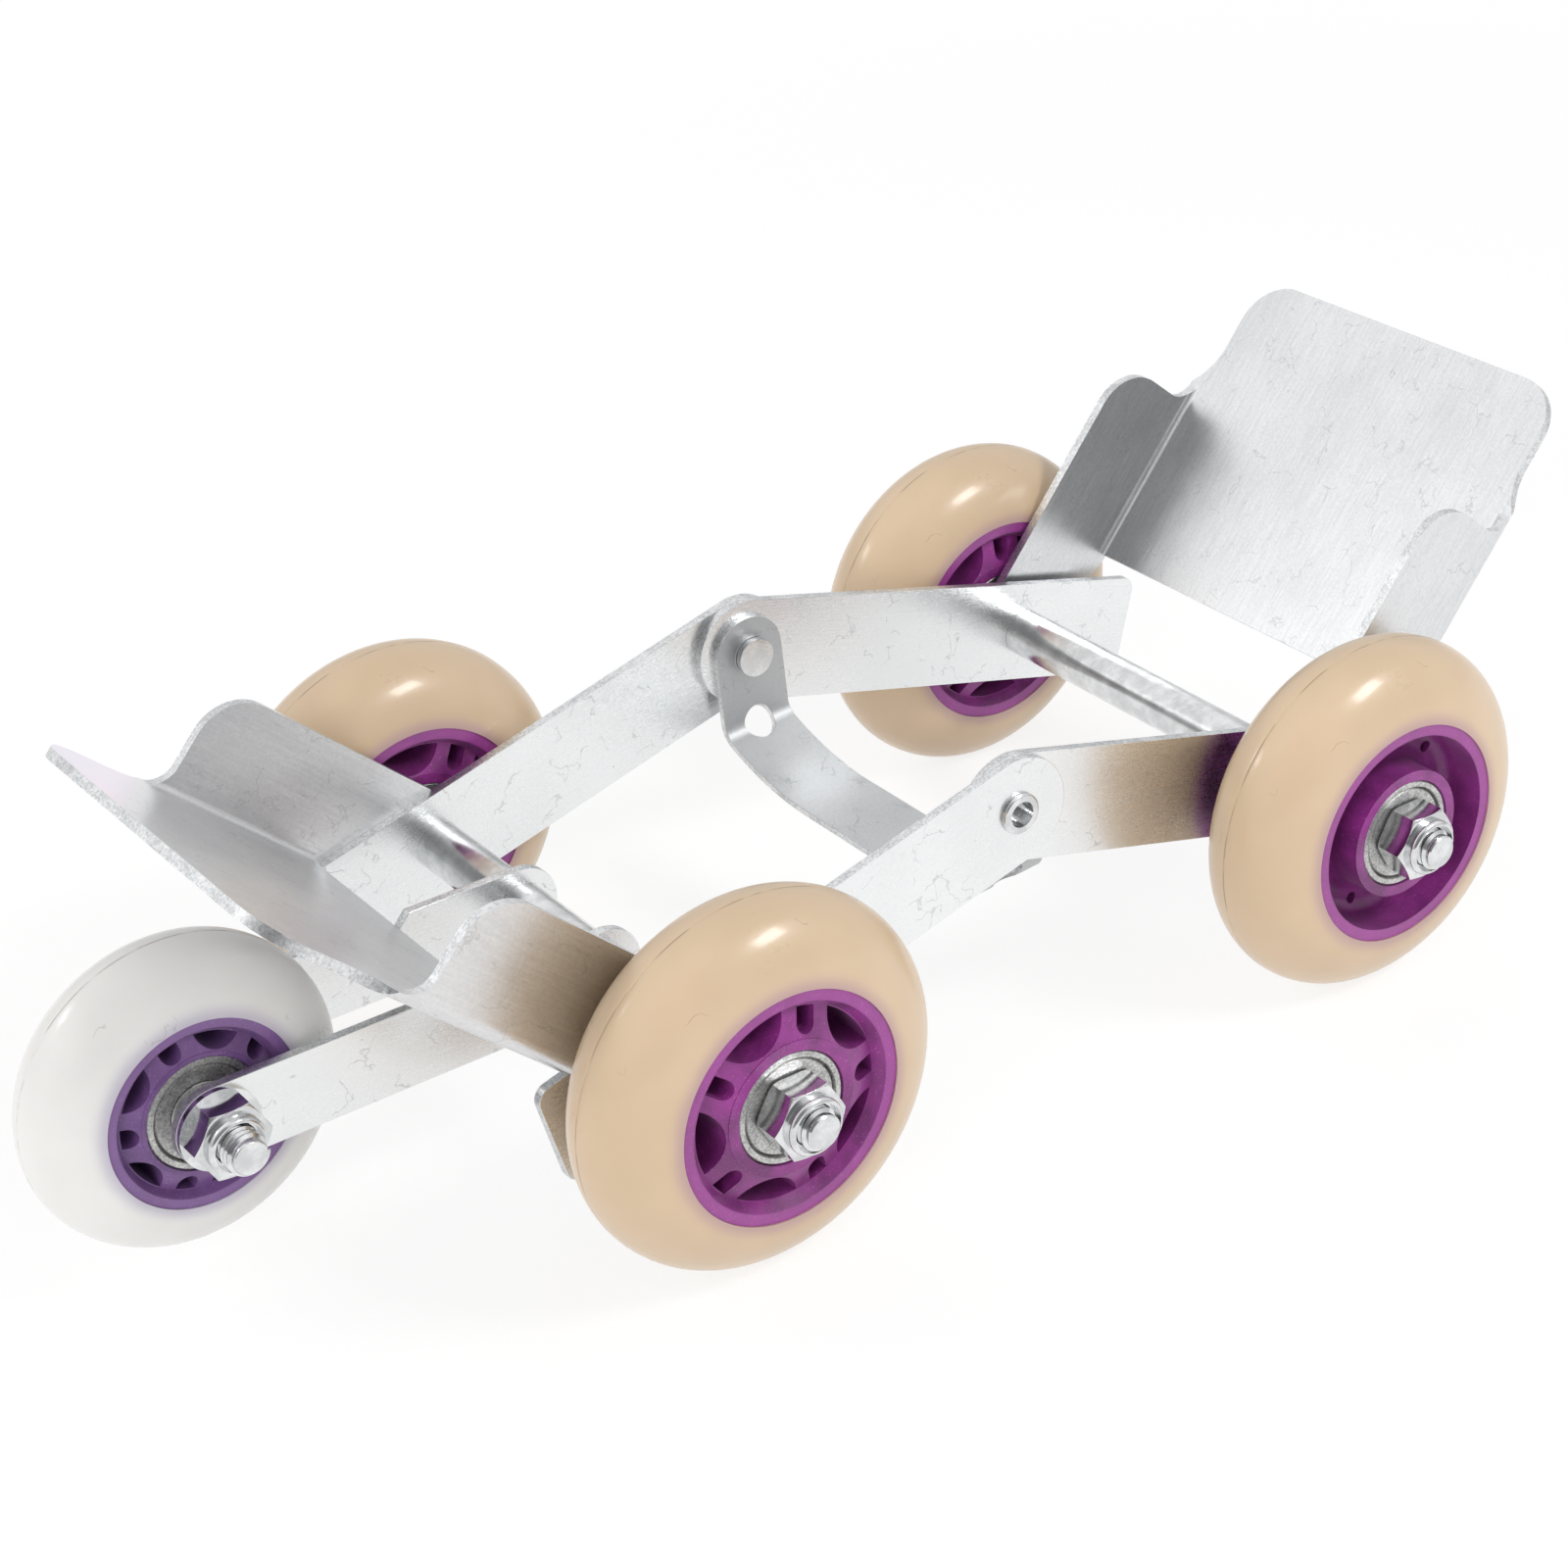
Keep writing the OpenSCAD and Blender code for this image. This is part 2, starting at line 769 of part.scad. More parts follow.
// Two bearings on Y, each an outer ring with its two dust shields
module bearings(x, y, outer_face) {
    shield_t = 0.8;
    shield_inset = 0.3;
    ring_r = bearing_d / 2;
    track_r = ring_r - outer_ring_t;
    middle = outer_face - bearing_w / 2;
    color("gray")
        translate([x, y, axle_z])
            both_sides()
                translate([0, middle, 0]) {
                    tube_y(0, 0, -bearing_w / 2, bearing_w / 2, ring_r, track_r);
                    for (side = [-1, 1])
                        translate([0, side * (bearing_w / 2 - shield_inset - shield_t / 2), 0])
                            tube_y(0, 0, -shield_t / 2, shield_t / 2, track_r + fit_gap,
                                axle_r + inner_ring_t + pin_gap);
                }
}

module inner_rings(x, y, outer_face) {
    color("silver")
        translate([x, y, axle_z])
            both_sides()
                tube_y(0, 0, outer_face - bearing_w, outer_face, axle_r + inner_ring_t,
                    axle_r + fit_gap);
}

module bearing_spacer(x, y, outer_face) {
    color("silver")
        translate([x, y, axle_z])
            tube_y(0, 0, bearing_w - outer_face, outer_face - bearing_w,
                axle_r + inner_ring_t - 0.1, axle_r + fit_gap);
}

module main_tyre(x, y) {
    tyre(x, y, wheel_d / 2, wheel_w / 2, tread_r, hub_d / 2, "wheat");
}

module fifth_tyre() {
    tyre(fifth_x, 0, fifth_d / 2, fifth_w / 2, fifth_tread_r, fifth_hub_d / 2, "ghostwhite");
}

front_bar(-frame_y, -rear_bar_y);  // front_bar_near
front_bar(rear_bar_y, frame_y);  // front_bar_far
hinge_rivets();
axle(front_x);  // front_axle
axle_nuts(front_x);  // front_axle_nuts
axle_washers(front_x);  // front_axle_washers
front_inner_tube();
front_outer_tubes();
rear_bar(-rear_bar_y, -strap_y);  // rear_bar_near
rear_bar(strap_y, rear_bar_y);  // rear_bar_far
axle(rear_x);  // rear_axle
axle_nuts(rear_x);  // rear_axle_nuts
axle_washers(rear_x);  // rear_axle_washers
rear_shims();
rear_tube();
front_cradle();
rear_cradle();
strap();
fork_arm(-fork_outer_y, -fork_y);  // fork_arm_near
fork_arm(fork_y, fork_outer_y);  // fork_arm_far
fifth_bolt();
fifth_nut();
fifth_spacers();
main_tyre(front_x, -wheel_y);  // near_front_tyre
hub(front_x, -wheel_y, 90, 38);  // near_front_hub
bearings(front_x, -wheel_y, bearing_y);  // near_front_bearings
inner_rings(front_x, -wheel_y, bearing_y);  // near_front_inner_rings
bearing_spacer(front_x, -wheel_y, bearing_y);  // near_front_bearing_spacer
main_tyre(front_x, wheel_y);  // far_front_tyre
hub(front_x, wheel_y, 90, 20);  // far_front_hub
bearings(front_x, wheel_y, bearing_y);  // far_front_bearings
inner_rings(front_x, wheel_y, bearing_y);  // far_front_inner_rings
bearing_spacer(front_x, wheel_y, bearing_y);  // far_front_bearing_spacer
main_tyre(rear_x, -wheel_y);  // near_rear_tyre
hub(rear_x, -wheel_y, -90, -38);  // near_rear_hub
bearings(rear_x, -wheel_y, bearing_y);  // near_rear_bearings
inner_rings(rear_x, -wheel_y, bearing_y);  // near_rear_inner_rings
bearing_spacer(rear_x, -wheel_y, bearing_y);  // near_rear_bearing_spacer
main_tyre(rear_x, wheel_y);  // far_rear_tyre
hub(rear_x, wheel_y, 90, 50);  // far_rear_hub
bearings(rear_x, wheel_y, bearing_y);  // far_rear_bearings
inner_rings(rear_x, wheel_y, bearing_y);  // far_rear_inner_rings
bearing_spacer(rear_x, wheel_y, bearing_y);  // far_rear_bearing_spacer
fifth_tyre();
fifth_hub();
bearings(fifth_x, 0, fifth_bearing_y);  // fifth_bearings
inner_rings(fifth_x, 0, fifth_bearing_y);  // fifth_inner_rings
bearing_spacer(fifth_x, 0, fifth_bearing_y);  // fifth_bearing_spacer
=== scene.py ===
import bpy, bmesh, json
from math import asin, atan, cos, degrees, pi, radians, sin
from mathutils import Matrix, Vector
from mathutils.bvhtree import BVHTree

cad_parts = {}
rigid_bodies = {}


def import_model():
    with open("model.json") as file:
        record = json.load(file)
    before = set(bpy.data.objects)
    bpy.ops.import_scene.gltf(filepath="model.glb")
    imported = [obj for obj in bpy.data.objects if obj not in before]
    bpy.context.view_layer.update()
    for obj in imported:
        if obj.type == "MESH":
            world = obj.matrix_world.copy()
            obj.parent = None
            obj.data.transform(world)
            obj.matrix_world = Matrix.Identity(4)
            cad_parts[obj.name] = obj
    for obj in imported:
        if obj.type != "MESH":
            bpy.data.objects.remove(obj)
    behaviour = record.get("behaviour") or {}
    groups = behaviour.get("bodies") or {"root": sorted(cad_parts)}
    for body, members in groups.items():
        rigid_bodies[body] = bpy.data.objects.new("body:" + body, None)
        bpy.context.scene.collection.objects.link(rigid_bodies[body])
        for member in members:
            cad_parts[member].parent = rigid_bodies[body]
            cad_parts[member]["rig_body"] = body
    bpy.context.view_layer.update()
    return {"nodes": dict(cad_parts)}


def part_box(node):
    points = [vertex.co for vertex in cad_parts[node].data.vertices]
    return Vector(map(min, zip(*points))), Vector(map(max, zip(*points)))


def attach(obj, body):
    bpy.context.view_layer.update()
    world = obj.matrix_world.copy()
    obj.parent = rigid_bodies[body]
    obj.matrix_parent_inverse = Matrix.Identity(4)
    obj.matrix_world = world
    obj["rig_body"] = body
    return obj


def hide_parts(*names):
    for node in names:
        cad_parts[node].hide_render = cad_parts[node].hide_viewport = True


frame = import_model()
scene = bpy.context.scene
MM = 0.001


def middle(node):
    """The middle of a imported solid's box."""
    low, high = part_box(node)
    return (low + high) / 2


FRONT_AXLE = middle("front_axle")
REAR_AXLE = middle("rear_axle")
FIFTH_AXLE = middle("fifth_tyre")


class Field:
    """A socket's value over a surface. Sums and products of fields add their Math nodes."""

    def __init__(self, finish, socket):
        self.finish, self.socket = finish, socket

    def joined(self, operation, *terms):
        values = dict(enumerate(terms))
        return self.finish.node("ShaderNodeMath", {"operation": operation}, values)

    def __add__(self, other): return self.joined("ADD", self, other)
    def __radd__(self, other): return self.joined("ADD", other, self)
    def __sub__(self, other): return self.joined("SUBTRACT", self, other)
    def __rsub__(self, other): return self.joined("SUBTRACT", other, self)
    def __mul__(self, other): return self.joined("MULTIPLY", self, other)
    def __rmul__(self, other): return self.joined("MULTIPLY", other, self)
    def __pow__(self, other): return self.joined("POWER", self, other)


class Nodes:
    """A node tree whose nodes are made by one method."""

    def __init__(self, tree):
        self.tree = tree

    def node(self, kind, settings=None, values=None, output=0):
        made = self.tree.nodes.new(kind)
        for name, value in (settings or {}).items():
            if name == "stops":
                ramp = made.color_ramp
                for place, colour in value[2:]:
                    ramp.elements.new(place)
                for stop, (place, colour) in zip(ramp.elements, sorted(value)):
                    stop.position, stop.color = place, (*colour, 1)
            else:
                setattr(made, name, value)
        for key, value in (values or {}).items():
            self.feed(made.inputs[key], value)
        return Field(self, made.outputs[output])

    def beside(self, field, *names):
        """Other outputs of the node that a field comes from."""
        outputs = field.socket.node.outputs
        return [Field(self, outputs[name]) for name in names]

    def feed(self, socket, value):
        if isinstance(value, Field):
            self.tree.links.new(value.socket, socket)
        elif isinstance(value, tuple) and len(value) == 3 and socket.type == "RGBA":
            socket.default_value = (*value, 1)
        else:
            socket.default_value = value

    def place(self, centre=(0, 0, 0), turn=0.0):
        """Object coordinates about a point, turned in degrees about the axles' direction."""
        spot = self.node("ShaderNodeTexCoord", output="Object")
        spot = self.node("ShaderNodeVectorMath", {"operation": "SUBTRACT"},
                         {0: spot, 1: tuple(centre)})
        return self.node("ShaderNodeMapping", {},
                         {"Vector": spot, "Rotation": (0, radians(turn), 0)})

    def stretched(self, spot, scale):
        """Coordinates with a scale of their own along each axis."""
        return self.node("ShaderNodeVectorMath", {"operation": "MULTIPLY"}, {0: spot, 1: scale})

    def parts(self, spot):
        return self.beside(self.node("ShaderNodeSeparateXYZ", {}, {0: spot}), "X", "Y", "Z")

    def noise(self, spot, scale, detail=2.0, roughness=0.5):
        return self.node("ShaderNodeTexNoise", {}, {
            "Vector": spot, "Scale": scale, "Detail": detail, "Roughness": roughness})

    def cells(self, spot, scale, feature="F1"):
        return self.node("ShaderNodeTexVoronoi", {"feature": feature},
                         {"Vector": spot, "Scale": scale})

    def steps(self, value, low, high):
        """0 below low, 1 above high, and smooth between."""
        return self.node("ShaderNodeMapRange", {"interpolation_type": "SMOOTHSTEP"},
                         {"Value": value, "From Min": low, "From Max": high})

    def mixed(self, share, first, second):
        return self.node("ShaderNodeMix", {"data_type": "RGBA"}, {0: share, 6: first, 7: second}, 2)

    def bump(self, height, depth):
        values = {"Height": height, "Distance": depth, "Strength": 1.0}
        return self.node("ShaderNodeBump", {}, values)


class Finish(Nodes):
    """A material of the skate."""

    def __init__(self, name):
        self.material = bpy.data.materials.new(name)
        self.material.use_nodes = True
        super().__init__(self.material.node_tree)
        self.shader = self.tree.nodes["Principled BSDF"]

    def set(self, **values):
        for name, value in values.items():
            self.feed(self.shader.inputs[name.replace("_", " ")], value)
        return self.material

    def hairlines(self, spot, scale, width, rarity):
        """Thin wandering scratches, 1 on a line and 0 beside it."""
        drift = self.node("ShaderNodeTexNoise", {},
                          {"Vector": spot, "Scale": 2.2 * scale, "Detail": 3.0}, 1)
        wander = self.node("ShaderNodeVectorMath", {"operation": "MULTIPLY_ADD"},
                           {0: drift, 1: (0.9 / scale,) * 3, 2: spot})
        line = 1 - self.steps(self.cells(wander, scale, "DISTANCE_TO_EDGE"), 0.2 * width, width)
        return line * self.steps(self.noise(spot, 1.7 * scale, 2.0), rarity, rarity + 0.05)


# Specks sit at the middles of cells of this scale and fade between these two distances
PIT = {"cells": 170.0, "inner": 0.030, "outer": 0.055}
# A painted reflection, in rose tints, shows on the inner side of the front panel, past a slanting
# line
PANEL_SLOPE = radians(42)
REFLECTION_BORDER = (0.892, -0.452)
LINE_BLUR = (-0.0055, 0.0008)
FACE_BLUR = 0.0004


def zinc_plate(name, turn, pale, grey, rough=0.17, streaks=0.15, painted_reflection=None):
    """Bright zinc on rolled sheet: clouds, rolling streaks, a fine grain and scratches, and a
    painted reflection where one is given.
    """
    f = Finish(name)
    spot = f.place(turn=turn)
    cloud = f.noise(spot, 34.0, 3.0, 0.55)
    grain = f.noise(spot, 1500.0, 3.0, 0.75)
    streak = f.noise(f.stretched(spot, (110, 1900, 1900)), 1.0, 3.0, 0.65)
    hair = f.hairlines(spot, 95.0, 0.020, 0.52)
    pit = 1 - f.steps(f.cells(spot, PIT["cells"]), PIT["inner"], PIT["outer"])
    pit = pit * f.steps(f.noise(spot, 75.0, 1.0), 0.57, 0.62)
    tone = f.steps(cloud * (0.62 - streaks) + streak * streaks + grain * 0.38, 0.38, 0.62)
    colour = f.mixed(tone, grey, pale)
    colour = f.mixed(hair * 0.32 + pit * 0.4, colour, (0.36, 0.37, 0.38))
    # A painted reflection: rose tints that change with distance from the flap's corner, faint all
    # over the sheet and strong past the slanting line on the panel's inner side
    if painted_reflection:
        tip, border, reach = painted_reflection
        x, y, z = f.parts(f.place(tip))
        far = (x * x + y * y + z * z) ** 0.5 + (cloud - 0.5) * 0.012
        reflection_tints = f.node("ShaderNodeValToRGB", {"stops": [
            (0.0, (0.89, 0.86, 0.95)), (0.30, (0.91, 0.82, 0.94)), (0.60, (0.96, 0.80, 0.91)),
            (0.85, (0.97, 0.81, 0.85)), (1.0, (0.96, 0.83, 0.79))]}, {0: far * (1 / reach)})
        x, y, z = f.parts(f.place(border))
        beyond = 1 - f.steps(x * REFLECTION_BORDER[0] + y * REFLECTION_BORDER[1], *LINE_BLUR)
        inside = f.steps(x * sin(PANEL_SLOPE) + z * cos(PANEL_SLOPE), -FACE_BLUR, FACE_BLUR)
        colour = f.mixed(beyond * inside * 0.88 + 0.05, colour, reflection_tints)
    return f.set(
        Base_Color=colour, Metallic=1.0,
        Roughness=rough + streak * (0.5 * streaks) + cloud * 0.07 + grain * 0.06 + hair * 0.1,
        Normal=f.bump(streak * (2.4 * streaks) + grain * 0.35 - hair * 0.3 - pit * 0.3, 0.00003))


def sheared_edge(name):
    """The coarse cut edge of plated sheet."""
    f = Finish(name)
    spot = f.place()
    grain = f.noise(spot, 1700.0, 3.0, 0.8)
    cloud = f.noise(spot, 160.0, 2.0, 0.5)
    tone = f.steps(grain * 0.7 + cloud * 0.3, 0.36, 0.64)
    return f.set(Base_Color=f.mixed(tone, (0.50, 0.51, 0.52), (0.86, 0.87, 0.88)), Metallic=1.0,
                 Roughness=0.30 + grain * 0.16, Normal=f.bump(grain, 0.00007))


def bright_steel(name, colour=(0.82, 0.83, 0.84), rough=0.07, dents=1.0):
    """Polished plating on turned and pressed fasteners."""
    f = Finish(name)
    spot = f.place()
    cloud = f.noise(spot, 260.0, 3.0, 0.6)
    grain = f.noise(spot, 3200.0, 2.0, 0.5)
    dimmed = tuple(0.78 * c for c in colour)
    return f.set(Base_Color=f.mixed(f.steps(cloud, 0.35, 0.7), dimmed, colour),
                 Metallic=1.0, Roughness=rough + cloud * 0.10 + grain * 0.05,
                 Normal=f.bump(cloud * (0.6 * dents) + grain * 0.3, 0.00003))


def ground_steel(name, colour):
    """The dull grainy faces of a bearing."""
    f = Finish(name)
    spot = f.place()
    grain = f.noise(spot, 2000.0, 3.0, 0.7)
    cloud = f.noise(spot, 220.0, 2.0, 0.5)
    tone = f.steps(grain * 0.7 + cloud * 0.3, 0.35, 0.65)
    return f.set(
        Base_Color=f.mixed(tone, tuple(0.55 * c for c in colour), tuple(1.25 * c for c in colour)),
        Metallic=0.9, Roughness=0.34 + grain * 0.2, Normal=f.bump(grain, 0.00006))


def cast_tyre(name, centre, hub_r, body, shade, stain):
    """Glossy cast polyurethane with its parting line, stained a little by the hub beside it."""
    f = Finish(name)
    spot = f.place(centre)
    x, y, z = f.parts(spot)
    radius = (x * x + z * z) ** 0.5
    cloud = f.noise(spot, 42.0, 2.0, 0.5)
    grain = f.noise(spot, 700.0, 2.0, 0.6)
    speck = 1 - f.steps(f.cells(spot, PIT["cells"]), PIT["inner"], PIT["outer"])
    speck = speck * f.steps(f.noise(spot, 61.0, 1.0), 0.60, 0.63)
    scratch = f.hairlines(spot, 60.0, 0.012, 0.60)
    off_middle = f.node("ShaderNodeMath", {"operation": "ABSOLUTE"}, {0: y})
    parting = 1 - f.steps(off_middle, 0.00010, 0.00024)
    parting = parting * f.steps(f.noise(spot, 110.0, 3.0), 0.42, 0.56)
    inward = 1 - f.steps(radius + (cloud - 0.5) * 0.0016, hub_r, hub_r + 0.0042)
    colour = f.mixed(f.steps(cloud, 0.3, 0.7), shade, body)
    colour = f.mixed(inward * inward * 0.6, colour, stain)
    colour = f.mixed(speck * 0.7 + scratch * 0.25 + parting * 0.45, colour, (0.20, 0.13, 0.08))
    f.shader.inputs["Coat Roughness"].default_value = 0.09
    f.shader.inputs["Subsurface Weight"].default_value = 0.12
    f.shader.inputs["Subsurface Radius"].default_value = (0.006, 0.004, 0.003)
    return f.set(Base_Color=colour, Coat_Weight=0.3,
                 Roughness=0.24 + cloud * 0.08 + grain * 0.03,
                 Normal=f.bump(cloud * 0.9 + grain * 0.04 - scratch * 0.1, 0.00010))


def pearl_hub(name, centre, lip_r, bright, deep):
    """Moulded plastic with a pearl sheen, a fine sparkle and a paler lip."""
    f = Finish(name)
    spot = f.place(centre)
    x, y, z = f.parts(spot)
    cloud = f.noise(spot, 120.0, 3.0, 0.6)
    sparkle = f.steps(f.noise(spot, 2600.0, 1.0, 0.5), 0.64, 0.74)
    lip = f.steps((x * x + z * z) ** 0.5, lip_r - 0.0004, lip_r + 0.0002)
    pale = tuple(min(1.0, 1.2 * c + 0.04) for c in bright)
    colour = f.mixed(f.steps(cloud, 0.3, 0.7), deep, bright)
    colour = f.mixed(lip * 0.5, colour, pale)
    # The sparkle's specks are painted paler, a painted glint, besides the bump and lower roughness
    # of their own
    colour = f.mixed(sparkle * 0.4, colour, tuple(min(1.0, 1.5 * c + 0.14) for c in bright))
    f.shader.inputs["Coat Roughness"].default_value = 0.2
    f.shader.inputs["Sheen Weight"].default_value = 0.08
    return f.set(Base_Color=colour, Roughness=0.30 + cloud * 0.14 - sparkle * 0.1,
                 Normal=f.bump(cloud * 0.3 + sparkle * 0.5, 0.00005), Coat_Weight=0.2)


# The painted reflection: its start by the far corner of the front flap, a point of its border at
# the far ear's end at the front panel, and its reach
panel_low, panel_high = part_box("front_cradle")
FLAP_CORNER = (panel_low.x + 0.004, panel_high.y - 0.008, panel_high.z - 0.004)
EAR_FOOT = (-0.1129, 0.043, 0.0695)
REFLECTION_REACH = 0.045
# How far the rolling direction of each steel is turned about the axles' direction, in degrees
BAR_TURN, FRONT_TURN, REAR_TURN = 14.8, -42.0, 50.0
PALE, GREY = (0.90, 0.91, 0.915), (0.83, 0.845, 0.85)
CRADLE_PALE, CRADLE_GREY = (0.80, 0.81, 0.82), (0.67, 0.68, 0.69)
ZINC = {
    "front_bar": zinc_plate("zinc_front_bars", BAR_TURN, PALE, GREY),
    "rear_bar": zinc_plate("zinc_rear_bars", -BAR_TURN, PALE, GREY),
    "fork_arm": zinc_plate("zinc_fork_arms", 0.0, PALE, GREY),
    "front_cradle": zinc_plate("zinc_front_cradle", FRONT_TURN, CRADLE_PALE, CRADLE_GREY,
                               streaks=0.3, painted_reflection=(FLAP_CORNER, EAR_FOOT, REFLECTION_REACH)),
    "rear_cradle": zinc_plate("zinc_rear_cradle", REAR_TURN, CRADLE_PALE, CRADLE_GREY,
                              streaks=0.35),
    "strap": zinc_plate("zinc_strap", 0.0, (0.60, 0.61, 0.62), (0.51, 0.52, 0.53), rough=0.42),
}
SHEET, STRAP_SHEET = 2.0 * MM, 1.5 * MM
SHEARED = sheared_edge("sheared_edges")
FASTENER = bright_steel("plated_fasteners")
TUBE = bright_steel("plated_tubes", colour=(0.80, 0.81, 0.82), rough=0.13, dents=0.1)
RACE = ground_steel("bearing_races", colour=(0.60, 0.60, 0.59))
SHIELD = ground_steel("bearing_shields", colour=(0.58, 0.58, 0.57))


def finished(mesh, name, body, materials, nodes, crease=32.0):
    """Makes an object of a bmesh, smooth except at its creases, and puts it on its body."""
    data = bpy.data.meshes.new(name)
    mesh.to_mesh(data)
    mesh.free()
    piece = bpy.data.objects.new(name, data)
    scene.collection.objects.link(piece)
    for material in materials if isinstance(materials, list) else [materials]:
        data.materials.append(material)
    data.shade_smooth()
    data.set_sharp_from_angle(angle=radians(crease))
    weight = piece.modifiers.new("even_shading", "WEIGHTED_NORMAL")
    weight.keep_sharp = True
    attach(piece, body)
    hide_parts(*nodes)
    return piece


def body_of(node):
    """The body that a node's solid moves with."""
    return frame["nodes"][node]["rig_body"]


def whole(node):
    """A merged copy of a solid's mesh."""
    mesh = bmesh.new()
    mesh.from_mesh(frame["nodes"][node].data)
    bmesh.ops.remove_doubles(mesh, verts=mesh.verts, dist=2e-6)
    bmesh.ops.dissolve_limit(mesh, angle_limit=radians(0.4), use_dissolve_boundaries=False,
                             verts=mesh.verts, edges=mesh.edges)
    return mesh


PLATE_EASE, NUT_EASE, HEAD_EASE = 0.22 * MM, 0.12 * MM, 0.15 * MM
TUBE_EASE, HUB_EASE, SPACER_EASE = 0.2 * MM, 0.3 * MM, 0.1 * MM
PLATE_CREASE, NUT_CREASE = 40.0, 34.0


def ease(mesh, width, crease):
    """Rounds the hard edges a little, as pressed, sawn and moulded parts have them."""
    hard = [e for e in mesh.edges
            if len(e.link_faces) == 2 and e.calc_face_angle() > radians(crease)]
    bmesh.ops.bevel(mesh, geom=hard, offset=width, offset_type="OFFSET", segments=2,
                    profile=0.5, affect="EDGES", material=-1, clamp_overlap=True)
    return mesh


def mark_cut_edges(mesh, sheet):
    """Gives the second material to the faces with more than a sheet's thickness behind them."""
    tree = BVHTree.FromBMesh(mesh)
    largest = {}
    for corners in mesh.calc_loop_triangles():
        a, b, c = (corner.vert.co for corner in corners)
        area = (b - a).cross(c - a).length
        face = corners[0].face
        if area > largest.get(face, (0, None))[0]:
            largest[face] = (area, (a + b + c) / 3)
    for face, (area, spot) in largest.items():
        hit = tree.ray_cast(spot - face.normal * 1e-5, -face.normal)
        if hit[3] is None or hit[3] > 1.2 * sheet:
            face.material_index = 1


def eased(node, name, materials, width, crease=32.0, sheet=0):
    """A solid with its edges rounded; with a sheet's thickness, its cut edges marked too."""
    mesh = ease(whole(node), width, crease)
    if sheet:
        mesh.normal_update()
        mark_cut_edges(mesh, sheet)
    return finished(mesh, name, body_of(node), materials, [node])


class Outline:
    """Edges drawn in the plane of radius and width, to be turned about an axle."""

    def __init__(self, radius, width):
        self.mesh = bmesh.new()
        self.first = self.tip = self.mesh.verts.new((radius, width, 0))

    def to(self, *points):
        """Straight edges from the tip through the points."""
        for radius, width in points:
            tip = self.mesh.verts.new((radius, width, 0))
            self.mesh.edges.new((self.tip, tip))
            self.tip = tip
        return self

    def curve(self, centre, turn, steps):
        """An arc from the tip about a centre, through a turn in degrees."""
        made = bmesh.ops.spin(self.mesh, geom=[self.tip], cent=(*centre, 0), axis=(0, 0, 1),
                              angle=radians(turn), steps=steps, use_duplicate=False)
        self.tip = [g for g in made["geom_last"] if isinstance(g, bmesh.types.BMVert)][0]
        return self

    def close(self):
        self.mesh.edges.new((self.tip, self.first))
        return self

    def turned(self, centre, steps=96):
        """The surface that the outline makes about an axle with this middle."""
        mesh = self.mesh
        bmesh.ops.spin(mesh, geom=mesh.verts[:] + mesh.edges[:], cent=(0, 0, 0), axis=(0, 1, 0),
                       angle=2 * pi, steps=steps, use_merge=True, use_duplicate=False)
        bmesh.ops.remove_doubles(mesh, verts=mesh.verts, dist=1e-7)
        bmesh.ops.recalc_face_normals(mesh, faces=mesh.faces)
        bmesh.ops.translate(mesh, verts=mesh.verts, vec=centre)
        return mesh


def joined(*meshes):
    """One bmesh of several."""
    together = bmesh.new()
    for mesh in meshes:
        data = bpy.data.meshes.new("part")
        mesh.to_mesh(data)
        mesh.free()
        together.from_mesh(data)
        bpy.data.meshes.remove(data)
    return together


FLANK_STEPS, CROWN_STEPS, TYRE_STEPS = 14, 12, 160
PARTING_DEPTH = 0.12 * MM
FIT_GAP = 0.02 * MM


def tyre(wheel, centre, outer_r, half_w, crown_r, hub_r, material):
    """A casting whose flanks run smoothly into its crown, with a fine groove at the parting."""
    wide_r = hub_r - MM
    bore = hub_r + FIT_GAP
    rise = outer_r - crown_r - wide_r
    blend = 2 * atan((half_w - crown_r) / rise)
    side_r = crown_r + rise / sin(blend)
    side_w = side_r - half_w
    start = asin((bore - wide_r) / side_r)
    groove = radians(0.8)
    line = Outline(bore, side_w - side_r * cos(start))
    line.curve((wide_r, side_w), degrees(blend - start), FLANK_STEPS)
    line.curve((outer_r - crown_r, 0), degrees(pi / 2 - blend - groove), CROWN_STEPS)
    line.to((outer_r - PARTING_DEPTH, 0))
    line.to((outer_r - crown_r + crown_r * cos(groove), crown_r * sin(groove)))
    line.curve((outer_r - crown_r, 0), degrees(pi / 2 - blend - groove), CROWN_STEPS)
    line.curve((wide_r, -side_w), degrees(blend - start), FLANK_STEPS)
    line.close()
    node = wheel + "_tyre"
    return finished(line.turned(centre, TYRE_STEPS), wheel + "_tyre_casting", body_of(node),
                    material, [node], crease=60.0)


# Half a bearing ring's outline: radius, and depth below the bearing's face, in millimetres
RACE_LINE = [(9.45, 0.35), (9.65, 0), (10.6, 0), (10.98, 0.35)]
SHIELD_LINE = [(6.08, 0.75), (6.12, 0.42), (6.9, 0.40), (7.6, 0.30), (8.95, 0.28), (9.22, 0.6),
               (9.47, 0.95)]
CORE_LINE = [(4.02, 0.4), (4.4, 0), (5.7, 0), (6.0, 0.3)]
BEARING_W = 7 * MM


def bearing_ring(line, centre, face, side):
    """A ring drawn at the bearing's outside face, and the same again at its other face."""
    points = [(radius * MM, face - depth * MM) for radius, depth in line]
    points += [(radius, face * 2 - BEARING_W - place) for radius, place in reversed(points)]
    first, *others = [(radius, place if side > 0 else -place) for radius, place in points]
    return Outline(*first).to(*others).close().turned(centre)


